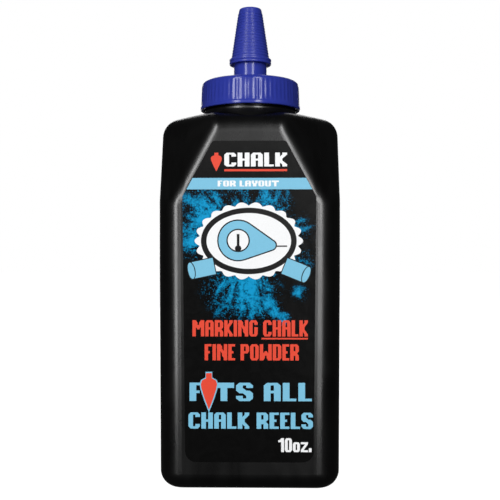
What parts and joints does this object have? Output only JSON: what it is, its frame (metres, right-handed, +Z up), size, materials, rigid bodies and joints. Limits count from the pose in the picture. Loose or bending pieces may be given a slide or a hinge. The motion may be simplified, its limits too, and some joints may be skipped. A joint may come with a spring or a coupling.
{
  "type": "marking chalk squeeze bottle",
  "caption": "Oblong squeeze bottle of marking-chalk powder with faceted shoulders, a screw cap with a tapered nozzle, and a pull-off ribbed cone over the nozzle.",
  "frame": {"origin": "centre of the base, on the surface that the bottle stands on", "axes": "+Z up along the neck and nozzle axis, the front label faces -Y, +X along the bottle's width"},
  "size_m": [0.0696, 0.0464, 0.188],
  "materials": {
    "bottle_plastic": "satin",
    "chalk": "matte",
    "front_print": "satin",
    "back_print": "satin",
    "seal_foam": "matte",
    "cap_plastic": "gloss",
    "cover_plastic": "gloss"
  },
  "bodies": {
    "bottle": {"bottle": "bottle_plastic", "chalk_powder": "chalk", "front_label": "front_print", "back_label": "back_print"},
    "sealing_ring": {"sealing_ring": "seal_foam"},
    "nozzle_cap": {"nozzle_cap": "cap_plastic"},
    "tip_cover": {"tip_cover": "cover_plastic"}
  },
  "joints": [
    {"name": "cap_lift", "type": "slide", "parent": "bottle", "child": "sealing_ring", "axis": [0, 0, 1], "range_m": [0, 0.01269]},
    {"name": "cap_turn", "type": "hinge", "parent": "sealing_ring", "child": "nozzle_cap", "pos_m": [0, 0, 0.1469], "axis": [0, 0, 1], "range_deg": [0, 1080]},
    {"name": "cover_pull", "type": "slide", "parent": "nozzle_cap", "child": "tip_cover", "axis": [0, 0, 1], "range_m": [0, 0.026]}
  ],
  "couplings": [
    {"joint": "cap_lift", "follows": "cap_turn", "m_per_rad": 0.00067322}
  ]
}
